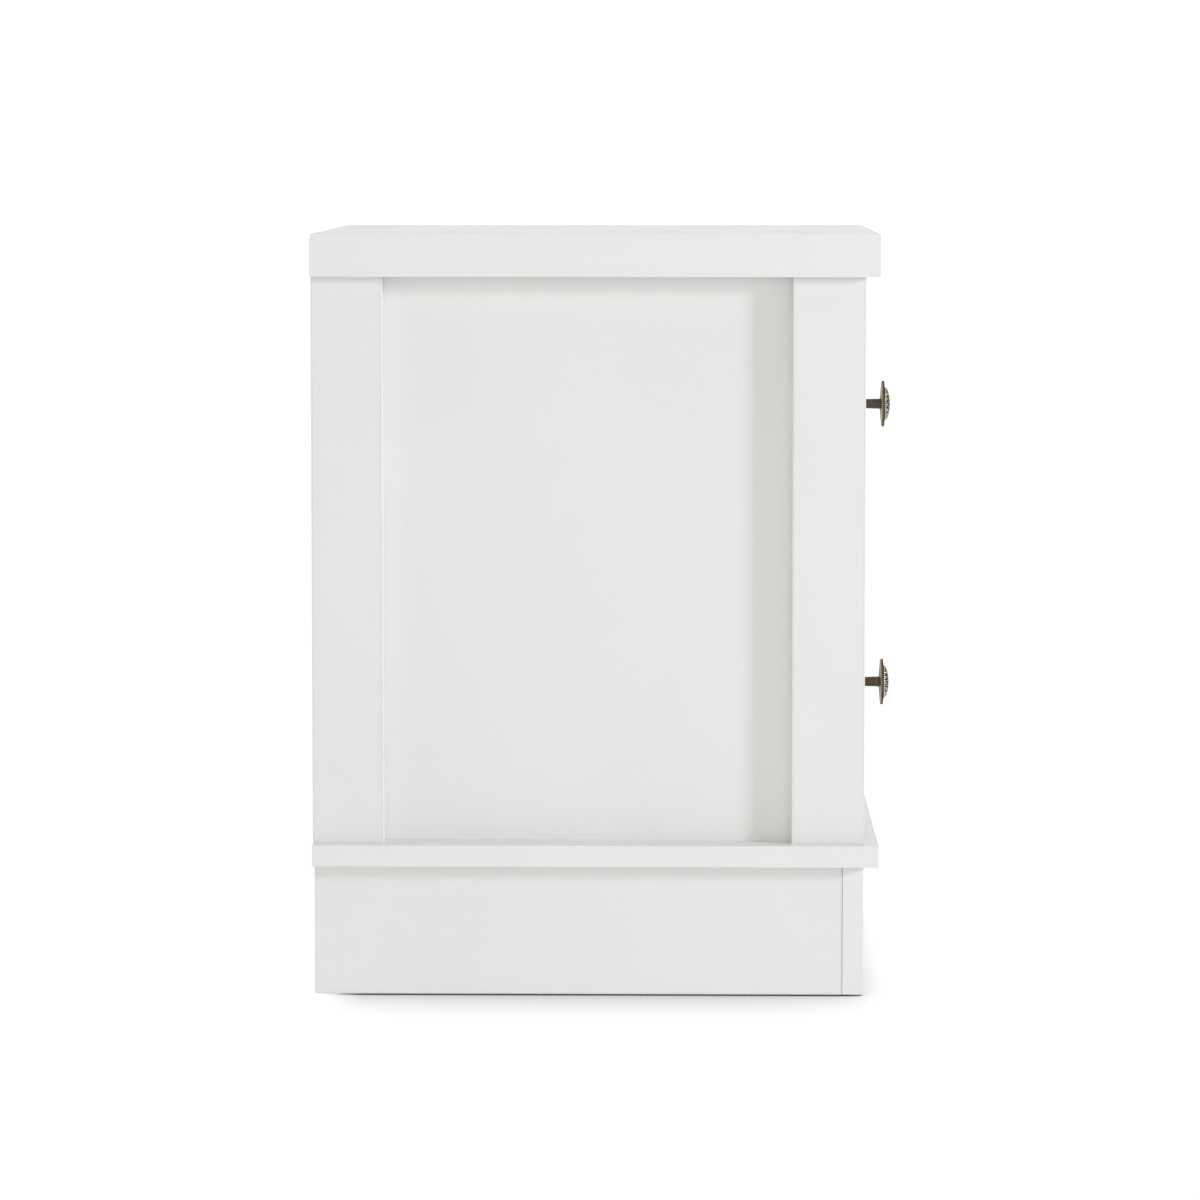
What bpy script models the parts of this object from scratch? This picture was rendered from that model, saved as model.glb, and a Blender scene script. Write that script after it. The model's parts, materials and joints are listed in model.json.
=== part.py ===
"""A two-drawer bedside cabinet of white laminated board on a plinth, as the pieces it is assembled from.

Metres, +Z up. The front faces -Y, the width runs along X, and the origin is on the floor under the middle of
the whole cabinet, knobs included. Each drawer hangs from an empty and slides along -Y on roller runners.
"""

import math

import bmesh
import bpy
from mathutils import Vector

# Driving dimensions
HEIGHT = 0.540
TOP_WIDTH = 0.420
TOP_DEPTH = 0.400
TOP_THICKNESS = 0.030
BOARD = 0.015
OVERHANG = 0.010  # of the top and the base past the stiles, at the front and at both sides
PLINTH_HEIGHT = 0.094
PLINTH_SETBACK = 0.015  # of the plinth's side from the base's side edge
PLINTH_SHORTFALL = 0.0007  # by which the plinth's sides stop short of the back
FRONT_STILE_WIDTH = 0.051
REAR_STILE_WIDTH = 0.050
BACK_THICKNESS = 0.003
GLIDE_HEIGHT = 0.001  # by which the floor glides lift the plinth
GAP = 0.0003  # between pieces that touch
REVEAL = 0.002  # round a drawer front

# Drawers
DRAWER_FRONT_HEIGHT = 0.1875
DRAWER_SIDE_THICKNESS = 0.012
DRAWER_SIDE_HEIGHT = 0.140
DRAWER_BOX_LENGTH = 0.349
DRAWER_BOTTOM_THICKNESS = 0.003
GROOVE_HEIGHT = 0.010  # from the drawer side's lower edge to its groove
GROOVE_DEPTH = 0.005
MIDDLE_RAIL_DEPTH = 0.080

# Runners. Their section is measured from the cabinet's inner wall and from the runner's underside.
SHEET = 0.0012
SIDE_CLEARANCE = 0.0125
RUNNER_LENGTH = 0.350
RUNNER_RISE = 0.004  # from the drawer front's lower edge to the runner's underside
RUNNER_SETBACK = 0.002
CHANNEL_WIDTH = 0.0095
CHANNEL_HEIGHT = 0.0218
ROLLER_RADIUS = 0.0085
ROLLER_WIDTH = 0.0066
RUNNER_SCREWS = (0.045, 0.175, 0.325)  # from a cabinet runner's front end
RUNNER_SCREW_HOLE_RADIUS = 0.0021
ROLLER_EDGE = 0.0008  # chamfer of a roller's rim
ROLLER_PLAY = 0.0005  # between a roller and the sheet that carries its axle
ROLLER_FROM_END = 0.012
AXLE_RADIUS = 0.0025
AXLE_HEAD_RADIUS = 0.004
AXLE_HEAD_THICKNESS = 0.0012
DRAWER_SEAT_WIDTH = 0.015  # of the drawer runner's flange under the drawer side
DRAWER_SEAT_RISE = 0.0008
DRAWER_FLANGE_CLEARANCE = 0.0022  # between the drawer runner's top flange and the cabinet's wall

# Knobs
KNOB_PROJECTION = 0.0245
KNOB_RADIUS = 0.017
KNOB_DOME_RADIUS = 0.0125
KNOB_DOME_HEIGHT = 0.0043
KNOB_RIM = 0.0022
KNOB_FOOT_RADIUS = 0.0055
KNOB_FOOT_HEIGHT = 0.0018
KNOB_STEM_RADIUS = 0.0034  # where the foot has run into the stem
KNOB_STEM_START = 0.0050
KNOB_NECK_RADIUS = 0.0037  # under the disc
KNOB_DISH = 0.0008  # by which the back of the disc is dished
KNOB_EDGE = 0.0006  # chamfer of the disc's rim
KNOB_BORE_DEPTH = 0.0125
SCREW_RADIUS = 0.0019
SCREW_REACH = 0.0100  # of the knob's screw into the knob
SCREW_HEAD_RADIUS = 0.0040
SCREW_HEAD_HEIGHT = 0.0024
SCREW_HEAD_ROUND = 0.0012

# Fixings
CAM_RADIUS = 0.0073
CAM_DEPTH = 0.012
CAM_EDGE = 0.0006
CAM_DROP = 0.024  # from the top's underside to the cam's centre
CONFIRMAT_LENGTH = 0.050
FIXING_DEPTHS = (-0.120, 0.140)  # where the side panels are fixed, along Y
BLOCK_SIDE = 0.025
BLOCK_HEIGHT = 0.060
GLIDE_RADIUS = 0.007
GLIDE_INSET = 0.045  # from the cabinet's front plane and from its back to a glide's middle
NAIL_RADIUS = 0.0009
NAIL_LENGTH = 0.013

# Places worked out from the sizes above
BACK = (TOP_DEPTH + KNOB_PROJECTION - OVERHANG) / 2
TOP_FRONT = BACK - TOP_DEPTH
FRONT = TOP_FRONT + OVERHANG
BASE_TOP = PLINTH_HEIGHT + BOARD
TOP_UNDERSIDE = HEIGHT - TOP_THICKNESS
STILE_OUTSIDE = TOP_WIDTH / 2 - OVERHANG
PANEL_OUTSIDE = STILE_OUTSIDE - BOARD
INNER_WALL = PANEL_OUTSIDE - BOARD
PLINTH_OUTSIDE = TOP_WIDTH / 2 - PLINTH_SETBACK
BACK_INSIDE = BACK - BACK_THICKNESS - GAP
LOWER_FRONT_Z = BASE_TOP + REVEAL
MIDDLE_RAIL_Z = LOWER_FRONT_Z + DRAWER_FRONT_HEIGHT + REVEAL
UPPER_FRONT_Z = MIDDLE_RAIL_Z + BOARD + REVEAL
DRAWER_FRONT_BACK = FRONT + BOARD
AXLE_Z = SHEET + GAP + ROLLER_RADIUS
SIDES = {"left": -1, "right": 1}
ENDS = {"front": FIXING_DEPTHS[0], "rear": FIXING_DEPTHS[1]}
FORWARDS = (math.pi / 2, 0, 0)  # turns the Z axis to the front, -Y


def clear_scene():
    for obj in list(bpy.data.objects):
        bpy.data.objects.remove(obj)


def material(name, colour, roughness, metallic=0.0):
    made = bpy.data.materials.new(name)
    made.use_nodes = True
    shader = made.node_tree.nodes["Principled BSDF"]
    shader.inputs["Base Color"].default_value = (*colour, 1.0)
    shader.inputs["Roughness"].default_value = roughness
    shader.inputs["Metallic"].default_value = metallic
    return made


def make_materials():
    return {
        "laminate": material("white_laminate", (0.80, 0.80, 0.78), 0.45),
        "hardboard": material("white_hardboard", (0.72, 0.71, 0.68), 0.60),
        "beech": material("beech_block", (0.62, 0.43, 0.25), 0.65),
        "steel": material("white_enamelled_steel", (0.78, 0.78, 0.77), 0.35),
        "nylon": material("nylon", (0.70, 0.70, 0.66), 0.40),
        "zinc": material("bright_zinc", (0.55, 0.56, 0.57), 0.35, 1.0),
        "brass": material("antique_brass", (0.20, 0.15, 0.09), 0.40, 1.0),
    }


def add_object(name, shape, finish, place=(0, 0, 0), turn=(0, 0, 0), parent=None, smooth=False):
    """Puts a bmesh in the scene as one named piece, its origin at `place` in the cabinet's frame."""
    mesh = bpy.data.meshes.new(name)
    shape.to_mesh(mesh)
    shape.free()
    if smooth:
        mesh.shade_smooth()
        mesh.set_sharp_from_angle(angle=math.radians(35))
    if finish:
        mesh.materials.append(finish)
    obj = bpy.data.objects.new(name, mesh)
    bpy.context.scene.collection.objects.link(obj)
    obj.rotation_euler = turn
    obj.location = Vector(place)
    if parent:
        obj.parent = parent
        obj.location -= parent.location
    return obj


def add_empty(name, place):
    empty = bpy.data.objects.new(name, None)
    bpy.context.scene.collection.objects.link(empty)
    empty.location = place
    return empty


def block(low, high):
    """A plain block between two corners: its shape, and the place of its middle."""
    low, high = Vector(low), Vector(high)
    shape = bmesh.new()
    bmesh.ops.create_cube(shape, size=1.0)
    bmesh.ops.scale(shape, vec=high - low, verts=shape.verts)
    return shape, (low + high) / 2


def board(name, low, high, finish, parent=None):
    shape, middle = block(low, high)
    return add_object(name, shape, finish, middle, parent=parent)


def mirrored(low, high, side):
    """The corners of a box given for the right-hand side (+X), moved to the wanted side."""
    if side > 0:
        return low, high
    return (-high[0], low[1], low[2]), (-low[0], high[1], high[2])


def prism(outline, length):
    """An outline of (x, z) points, anticlockwise as seen from the front, extruded `length` along +Y."""
    shape = bmesh.new()
    corners = [shape.verts.new((x, 0, z)) for x, z in outline]
    face = shape.faces.new(corners)
    made = bmesh.ops.extrude_face_region(shape, geom=[face])
    moved = [v for v in made["geom"] if isinstance(v, bmesh.types.BMVert)]
    bmesh.ops.translate(shape, verts=moved, vec=(0, length, 0))
    bmesh.ops.recalc_face_normals(shape, faces=shape.faces)
    return shape


def turned(profile, segments=16):
    """A profile of (radius, height) points, spun round the Z axis. Its ends close on the axis."""
    shape = bmesh.new()
    points = [shape.verts.new((radius, 0, height)) for radius, height in profile]
    edges = [shape.edges.new(pair) for pair in zip(points, points[1:])]
    bmesh.ops.spin(
        shape,
        geom=points + edges,
        cent=(0, 0, 0),
        axis=(0, 0, 1),
        angle=2 * math.pi,
        steps=segments,
        use_merge=True,
    )
    bmesh.ops.remove_doubles(shape, verts=shape.verts, dist=1e-6)
    bmesh.ops.recalc_face_normals(shape, faces=shape.faces)
    return shape


def helper(name, shape, place=(0, 0, 0), turn=(0, 0, 0), parent=None):
    """A shape that only takes part in a Boolean."""
    obj = add_object(name, shape, None, place, turn, parent)
    obj.hide_render = True
    obj.display_type = "WIRE"
    return obj


def combine(obj, other, operation):
    modifier = obj.modifiers.new(other.name, "BOOLEAN")
    modifier.operation = operation
    modifier.solver = "EXACT"
    modifier.object = other


def drilled(obj, name, radius, start, length, turn=(0, 0, 0), parent=None):
    """A round hole that starts at `start` and runs `length` along the turned Z axis."""
    hole = turned([(0, 0), (radius, 0), (radius, length), (0, length)])
    combine(obj, helper(name, hole, start, turn, parent), "DIFFERENCE")


def across(side):
    """Turns the Z axis outwards along X, on the wanted side."""
    return (0, side * math.pi / 2, 0)


def make_top(finish):
    board(
        "top_panel",
        (-TOP_WIDTH / 2, TOP_FRONT, TOP_UNDERSIDE),
        (TOP_WIDTH / 2, BACK, HEIGHT),
        finish,
    )


def make_side(name, side, finishes):
    """One side: the carcass panel with the stiles on its outside, its cam locks and its confirmat screws."""
    low_z, high_z = BASE_TOP + GAP, TOP_UNDERSIDE - GAP
    corners = (INNER_WALL, FRONT, low_z), (PANEL_OUTSIDE, BACK_INSIDE, high_z)
    panel = board(f"{name}_side_panel", *mirrored(*corners, side), finishes["laminate"])
    stile_inside = PANEL_OUTSIDE + GAP
    stiles = {
        "front": (FRONT, FRONT + FRONT_STILE_WIDTH),
        "rear": (BACK - REAR_STILE_WIDTH, BACK),
    }
    for end, (start, stop) in stiles.items():
        corners = (stile_inside, start, low_z), (STILE_OUTSIDE, stop, high_z)
        board(f"{name}_{end}_stile", *mirrored(*corners, side), finishes["laminate"])
    for end, y in ENDS.items():
        make_cam_lock(f"{name}_{end}", side, y, panel, finishes["zinc"])
        make_confirmat(f"{name}_{end}", side, y, panel, finishes["zinc"])


def make_cam_lock(name, side, y, panel, finish):
    """A cam lock, let into the inner face of the side panel below the top."""
    z = TOP_UNDERSIDE - CAM_DROP
    rim = CAM_RADIUS - CAM_EDGE
    face = [(0, 0), (rim, 0), (CAM_RADIUS, CAM_EDGE), (CAM_RADIUS, CAM_DEPTH), (0, CAM_DEPTH)]
    add_object(
        f"cam_lock_{name}", turned(face), finish, (side * INNER_WALL, y, z), across(side), smooth=True
    )
    drilled(
        panel,
        f"cam_pocket_{name}",
        CAM_RADIUS + GAP,
        (side * (INNER_WALL - BOARD), y, z),
        BOARD + CAM_DEPTH + GAP,
        across(side),
    )


def make_confirmat(name, side, y, panel, finish):
    """A confirmat screw, up through the base into the side panel's lower edge."""
    x = side * (INNER_WALL + PANEL_OUTSIDE) / 2
    head, neck, core, tip = 0.0048, 0.0033, 0.0026, 0.0010
    head_edge, head_height, neck_height = 0.0008, 0.0024, 0.0115
    tip_height = CONFIRMAT_LENGTH - core
    profile = [
        (0, 0),
        (head, 0),
        (head, head_edge),
        (neck, head_height),
        (neck, neck_height),
        (core, neck_height),
        (core, tip_height),
        (tip, CONFIRMAT_LENGTH),
        (0, CONFIRMAT_LENGTH),
    ]
    place = (x, y, PLINTH_HEIGHT)
    add_object(f"confirmat_{name}", turned(profile), finish, place, smooth=True)
    below = (x, y, PLINTH_HEIGHT - BOARD)
    base = bpy.data.objects["base_panel"]
    drilled(base, f"head_bore_{name}", head + GAP, below, BOARD + head_height + GAP)
    drilled(base, f"neck_bore_{name}", neck + GAP, below, 3 * BOARD)
    drilled(panel, f"edge_bore_{name}", core + GAP, place, CONFIRMAT_LENGTH + GAP)


def make_base(finish):
    """The base board, which overhangs as a moulding, under the sides."""
    board(
        "base_panel",
        (-TOP_WIDTH / 2, TOP_FRONT, PLINTH_HEIGHT),
        (TOP_WIDTH / 2, BACK, BASE_TOP),
        finish,
    )


def make_plinth(finishes):
    """Four boards on edge under the base, with glue blocks in their corners and glides under the sides."""
    low, top = GLIDE_HEIGHT, PLINTH_HEIGHT - GAP
    inside = PLINTH_OUTSIDE - BOARD
    side_back = BACK - PLINTH_SHORTFALL
    rear_back = BACK - BOARD
    rear_front = rear_back - BOARD
    laminate = finishes["laminate"]
    board("plinth_front", (-PLINTH_OUTSIDE, FRONT, low), (PLINTH_OUTSIDE, DRAWER_FRONT_BACK, top), laminate)
    board("plinth_rear", (GAP - inside, rear_front, low), (inside - GAP, rear_back, top), laminate)
    block_starts = {"front": DRAWER_FRONT_BACK + GAP, "rear": rear_front - GAP - BLOCK_SIDE}
    glide_places = {"front": FRONT + GLIDE_INSET, "rear": BACK - GLIDE_INSET}
    for name, side in SIDES.items():
        corners = (inside, DRAWER_FRONT_BACK + GAP, low), (PLINTH_OUTSIDE, side_back, top)
        plinth = board(f"plinth_{name}", *mirrored(*corners, side), laminate)
        outer = inside - GAP
        for end, y in block_starts.items():
            corners = (outer - BLOCK_SIDE, y, top - BLOCK_HEIGHT), (outer, y + BLOCK_SIDE, top)
            board(f"corner_block_{name}_{end}", *mirrored(*corners, side), finishes["beech"])
        for end, y in glide_places.items():
            place = (side * (inside + PLINTH_OUTSIDE) / 2, y, 0)
            make_glide(f"{name}_{end}", place, plinth, finishes["nylon"])


def make_glide(name, place, plinth, finish):
    """A flat glide, nailed up into a plinth board's lower edge."""
    thickness = GLIDE_HEIGHT - GAP
    profile = [
        (0, 0),
        (GLIDE_RADIUS - thickness, 0),
        (GLIDE_RADIUS, thickness),
        (NAIL_RADIUS, thickness),
        (NAIL_RADIUS, NAIL_LENGTH - 2 * NAIL_RADIUS),
        (0, NAIL_LENGTH),
    ]
    add_object(f"floor_glide_{name}", turned(profile), finish, place, smooth=True)
    drilled(plinth, f"nail_hole_{name}", NAIL_RADIUS + GAP, place, NAIL_LENGTH + GAP)


def make_back_and_rail(finishes):
    """The thin back, nailed on between the rear stiles, and the rail between the drawers."""
    board(
        "back_panel",
        (-PANEL_OUTSIDE, BACK - BACK_THICKNESS, BASE_TOP + GAP),
        (PANEL_OUTSIDE, BACK, TOP_UNDERSIDE - GAP),
        finishes["hardboard"],
    )
    board(
        "middle_rail",
        (GAP - INNER_WALL, FRONT, MIDDLE_RAIL_Z),
        (INNER_WALL - GAP, FRONT + MIDDLE_RAIL_DEPTH, MIDDLE_RAIL_Z + BOARD),
        finishes["laminate"],
    )


def section(points, side):
    """A runner's section, given from the right-hand inner wall inwards, on the wanted side."""
    return [(side * (INNER_WALL - inwards), rise) for inwards, rise in points]


def axle():
    """A riveted axle, from inside the sheet it stands on to its head past the roller."""
    length = SHEET / 2 + ROLLER_PLAY + ROLLER_WIDTH + GAP + AXLE_HEAD_THICKNESS
    return turned(
        [
            (0, 0),
            (AXLE_RADIUS, 0),
            (AXLE_RADIUS, length - AXLE_HEAD_THICKNESS),
            (AXLE_HEAD_RADIUS, length - AXLE_HEAD_THICKNESS),
            (AXLE_HEAD_RADIUS, length),
            (0, length),
        ]
    )


def add_roller(name, inwards_from, side, y, z, finish, parent=None):
    """A nylon roller, its origin on its axle, spanning ROLLER_WIDTH inwards from `inwards_from`."""
    half, bore = ROLLER_WIDTH / 2, AXLE_RADIUS + GAP
    crown = ROLLER_RADIUS - ROLLER_EDGE
    shape = turned(
        [
            (bore, -half),
            (crown, -half),
            (ROLLER_RADIUS, ROLLER_EDGE - half),
            (ROLLER_RADIUS, half - ROLLER_EDGE),
            (crown, half),
            (bore, half),
            (bore, -half),
        ]
    )
    x = side * (INNER_WALL - inwards_from - half)
    return add_object(name, shape, finish, (x, y, z), across(side), parent, smooth=True)


def make_cabinet_runner(name, side, front_z, finishes):
    """The channel screwed to the cabinet's wall, with its roller at the front."""
    low = front_z + RUNNER_RISE
    web = GAP + SHEET
    channel = [
        (GAP, 0),
        (CHANNEL_WIDTH, 0),
        (CHANNEL_WIDTH, SHEET),
        (web, SHEET),
        (web, CHANNEL_HEIGHT - SHEET),
        (CHANNEL_WIDTH, CHANNEL_HEIGHT - SHEET),
        (CHANNEL_WIDTH, CHANNEL_HEIGHT),
        (GAP, CHANNEL_HEIGHT),
    ]
    start = DRAWER_FRONT_BACK + RUNNER_SETBACK
    shape = prism(section(channel, side), RUNNER_LENGTH)
    runner = add_object(f"{name}_cabinet_runner", shape, finishes["steel"], (0, start, low))
    y, z = start + ROLLER_FROM_END, low + AXLE_Z
    root = side * (INNER_WALL - web + SHEET / 2)
    combine(runner, helper(f"{name}_cabinet_axle", axle(), (root, y, z), across(-side)), "UNION")
    for number, along in enumerate(RUNNER_SCREWS, 1):
        place = (side * (INNER_WALL + BOARD), start + along, z)
        hole = f"{name}_screw_hole_{number}"
        drilled(runner, hole, RUNNER_SCREW_HOLE_RADIUS, place, 2 * BOARD, across(-side))
    add_roller(f"{name}_cabinet_roller", web + ROLLER_PLAY, side, y, z, finishes["nylon"])


def make_drawer_runner(name, side, front_z, finishes, parent):
    """The rail under a drawer's side. It rides on the cabinet's roller and has its own at the rear."""
    low = front_z + RUNNER_RISE
    flange_top = AXLE_Z + ROLLER_RADIUS + GAP + SHEET
    web = SIDE_CLEARANCE - GAP
    seat = DRAWER_SEAT_RISE
    rail = [
        (DRAWER_FLANGE_CLEARANCE, flange_top - SHEET),
        (web - SHEET, flange_top - SHEET),
        (web - SHEET, seat),
        (web + DRAWER_SEAT_WIDTH - SHEET, seat),
        (web + DRAWER_SEAT_WIDTH - SHEET, seat + SHEET),
        (web, seat + SHEET),
        (web, flange_top),
        (DRAWER_FLANGE_CLEARANCE, flange_top),
    ]
    start = DRAWER_FRONT_BACK + GAP
    shape = prism(section(rail, side), RUNNER_LENGTH)
    runner = add_object(f"{name}_drawer_runner", shape, finishes["steel"], (0, start, low), parent=parent)
    y, z = start + RUNNER_LENGTH - ROLLER_FROM_END, low + AXLE_Z
    root = side * (INNER_WALL - web + SHEET / 2)
    combine(runner, helper(f"{name}_drawer_axle", axle(), (root, y, z), across(side), parent), "UNION")
    roller_start = web - SHEET - ROLLER_PLAY - ROLLER_WIDTH
    add_roller(f"{name}_drawer_roller", roller_start, side, y, z, finishes["nylon"], parent)


def make_drawer_box(name, front_z, finishes, parent):
    """Front, sides, back and bottom. The bottom slides in grooves in the sides and in the front."""
    laminate = finishes["laminate"]
    outside = INNER_WALL - SIDE_CLEARANCE
    inside = outside - DRAWER_SIDE_THICKNESS
    low = front_z + RUNNER_RISE + DRAWER_SEAT_RISE + SHEET + GAP
    groove = low + GROOVE_HEIGHT
    groove_height = DRAWER_BOTTOM_THICKNESS + 2 * GAP
    start = DRAWER_FRONT_BACK + GAP
    front_low = (REVEAL - INNER_WALL, FRONT, front_z)
    front_high = (INNER_WALL - REVEAL, DRAWER_FRONT_BACK, front_z + DRAWER_FRONT_HEIGHT)
    front = board(f"{name}_drawer_front", front_low, front_high, laminate, parent)
    slot_low = (-TOP_WIDTH / 2, DRAWER_FRONT_BACK - GROOVE_DEPTH, groove)
    slot_high = (TOP_WIDTH / 2, DRAWER_FRONT_BACK + BOARD, groove + groove_height)
    slot, middle = block(slot_low, slot_high)
    combine(front, helper(f"{name}_front_groove", slot, middle, parent=parent), "DIFFERENCE")
    for side_name, side in SIDES.items():
        outline = [
            (outside, low),
            (outside, low + DRAWER_SIDE_HEIGHT),
            (inside, low + DRAWER_SIDE_HEIGHT),
            (inside, groove + groove_height),
            (inside + GROOVE_DEPTH, groove + groove_height),
            (inside + GROOVE_DEPTH, groove),
            (inside, groove),
            (inside, low),
        ]
        shape = prism([(side * x, z - low) for x, z in outline], DRAWER_BOX_LENGTH)
        add_object(f"{name}_drawer_{side_name}_side", shape, laminate, (0, start, low), parent=parent)
    rear = start + DRAWER_BOX_LENGTH
    board(
        f"{name}_drawer_back",
        (GAP - inside, rear - DRAWER_SIDE_THICKNESS, groove + groove_height),
        (inside - GAP, rear, low + DRAWER_SIDE_HEIGHT),
        laminate,
        parent,
    )
    reach = inside + GROOVE_DEPTH - GAP
    board(
        f"{name}_drawer_bottom",
        (-reach, DRAWER_FRONT_BACK - GROOVE_DEPTH + GAP, groove + GAP),
        (reach, rear, groove + GAP + DRAWER_BOTTOM_THICKNESS),
        finishes["hardboard"],
        parent,
    )
    return front


def knob_profile():
    """Half section of the knob, from its foot on the drawer front to its crown, with the bore."""
    bore = SCREW_RADIUS + GAP
    rim_front = KNOB_PROJECTION - KNOB_DOME_HEIGHT
    rim_back = rim_front - KNOB_RIM
    dish = rim_back - KNOB_DISH
    collar = KNOB_NECK_RADIUS + KNOB_DISH
    edge = KNOB_RADIUS - KNOB_EDGE
    profile = [(0, KNOB_BORE_DEPTH), (bore, KNOB_BORE_DEPTH), (bore, GAP)]
    profile += [(KNOB_FOOT_RADIUS, GAP), (KNOB_FOOT_RADIUS, KNOB_FOOT_HEIGHT)]
    profile += [(KNOB_STEM_RADIUS, KNOB_STEM_START), (KNOB_NECK_RADIUS, dish - KNOB_DISH), (collar, dish)]
    profile += [(edge, rim_back), (KNOB_RADIUS, rim_back + KNOB_EDGE), (KNOB_RADIUS, rim_front - KNOB_EDGE)]
    profile += [(edge, rim_front), (KNOB_DOME_RADIUS, rim_front)]
    steps = 6
    for step in range(1, steps):
        angle = math.pi / 2 * step / steps
        height = rim_front + KNOB_DOME_HEIGHT * math.sin(angle)
        profile.append((KNOB_DOME_RADIUS * math.cos(angle), height))
    return profile + [(0, KNOB_PROJECTION)]


def make_knob(name, front_z, front, finishes, parent):
    """The knob and the screw that holds it, through the middle of the drawer front."""
    z = front_z + DRAWER_FRONT_HEIGHT / 2
    shape = turned(knob_profile(), 32)
    add_object(f"{name}_knob", shape, finishes["brass"], (0, FRONT, z), FORWARDS, parent, smooth=True)
    screw = [
        (0, -SCREW_HEAD_HEIGHT),
        (SCREW_HEAD_RADIUS - SCREW_HEAD_ROUND, -SCREW_HEAD_HEIGHT),
        (SCREW_HEAD_RADIUS, -SCREW_HEAD_HEIGHT / 2),
        (SCREW_HEAD_RADIUS, -GAP),
        (SCREW_RADIUS, -GAP),
        (SCREW_RADIUS, BOARD + SCREW_REACH),
        (0, BOARD + SCREW_REACH),
    ]
    place = (0, DRAWER_FRONT_BACK, z)
    add_object(f"{name}_knob_screw", turned(screw), finishes["zinc"], place, FORWARDS, parent, smooth=True)
    inside = (0, DRAWER_FRONT_BACK + BOARD, z)
    drilled(front, f"{name}_knob_hole", SCREW_RADIUS + GAP, inside, 3 * BOARD, FORWARDS, parent)


def make_drawer(name, front_z, finishes):
    """One drawer on its runners. Its empty is at the middle of its front, where the slide's axis runs."""
    slide = add_empty(f"{name}_drawer", (0, FRONT, front_z + DRAWER_FRONT_HEIGHT / 2))
    front = make_drawer_box(name, front_z, finishes, slide)
    make_knob(name, front_z, front, finishes, slide)
    for side_name, side in SIDES.items():
        make_cabinet_runner(f"{name}_{side_name}", side, front_z, finishes)
        make_drawer_runner(f"{name}_{side_name}", side, front_z, finishes, slide)


def main():
    clear_scene()
    finishes = make_materials()
    make_top(finishes["laminate"])
    make_base(finishes["laminate"])
    for name, side in SIDES.items():
        make_side(name, side, finishes)
    make_plinth(finishes)
    make_back_and_rail(finishes)
    make_drawer("lower", LOWER_FRONT_Z, finishes)
    make_drawer("upper", UPPER_FRONT_Z, finishes)
    bpy.context.view_layer.update()


main()
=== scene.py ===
"""The looks of a white two-drawer bedside cabinet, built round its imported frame."""

import json
import math

import bmesh
import bpy
from mathutils import Matrix, Vector


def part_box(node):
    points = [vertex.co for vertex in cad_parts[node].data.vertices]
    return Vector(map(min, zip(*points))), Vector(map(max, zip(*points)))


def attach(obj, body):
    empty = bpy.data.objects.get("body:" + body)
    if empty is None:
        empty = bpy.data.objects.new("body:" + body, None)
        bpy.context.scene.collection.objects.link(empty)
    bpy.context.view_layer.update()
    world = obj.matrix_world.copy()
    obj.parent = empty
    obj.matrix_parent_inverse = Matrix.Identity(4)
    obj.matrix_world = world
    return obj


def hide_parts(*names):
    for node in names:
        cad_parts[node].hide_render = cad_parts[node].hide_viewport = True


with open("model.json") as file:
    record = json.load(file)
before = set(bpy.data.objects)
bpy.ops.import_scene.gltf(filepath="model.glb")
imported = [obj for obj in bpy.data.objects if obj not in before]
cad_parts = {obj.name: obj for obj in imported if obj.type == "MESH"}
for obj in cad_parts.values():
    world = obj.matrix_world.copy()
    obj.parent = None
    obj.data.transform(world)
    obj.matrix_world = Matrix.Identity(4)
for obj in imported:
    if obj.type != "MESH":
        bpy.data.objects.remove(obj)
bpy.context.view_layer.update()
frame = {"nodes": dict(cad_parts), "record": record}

BODY_OF = {node: body for body, nodes in frame["record"]["behaviour"]["bodies"].items() for node in nodes}
DRAWERS = ("lower", "upper")
SIDES = {"left": -1, "right": 1}
LEVELS = ("front", "rear")

# Boards
ARRIS = 0.0004  # by which a board's edges are eased
SMALL_ARRIS = 0.0003
JOINT_CLOSING = 0.00014  # each face moves out by this, so that boards meet on a hairline
EDGE_BAND = 0.0009  # thickness of the edge band
SEAM_WIDTH = 0.00016
SHORTEST_ARRIS = 0.006  # edges shorter than this belong to bores, and aren't eased
ARRIS_SEGMENTS = 3
SHARP = math.radians(60)
ALIGNED = 0.99  # a direction this near to an axis runs along it
UPRIGHT = 2  # the axis of the edges that are eased on a board cut square at both ends
NAIL_ROWS = 8
NAIL_MARGIN = 0.020  # from the back's upper and lower edges
NAIL_HEAD = ((0, 0), (0.0021, 0), (0.0021, 0.0003), (0.0015, 0.0006), (0, 0.0007))
NAIL_SEGMENTS = 20

# Rollers and runners
ROLLER_BORE = 0.0028
ROLLER_HUB = 0.0044
ROLLER_WEB = 0.0012  # half the web's thickness
ROLLER_TYRE = 0.0016
ROLLER_LIP = 0.0004
ROLLER_SEGMENTS = 64
SHEET = 0.0012
WEB_SCREWS = (0.045, 0.175, 0.325)  # from a cabinet runner's front end
WEB_SCREW_DROP = 0.0009  # from the middle of the channel
WEB_SCREW_HEIGHT = 0.0016
SEAT_SCREWS = (0.040, 0.170, 0.300)  # from a drawer runner's front end
SEAT_SCREW_INSET = 0.0075  # from the seat's inner edge
SEAT_SCREW_HEIGHT = 0.0014
RUNNER_SCREW_RADIUS = 0.0033

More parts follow.
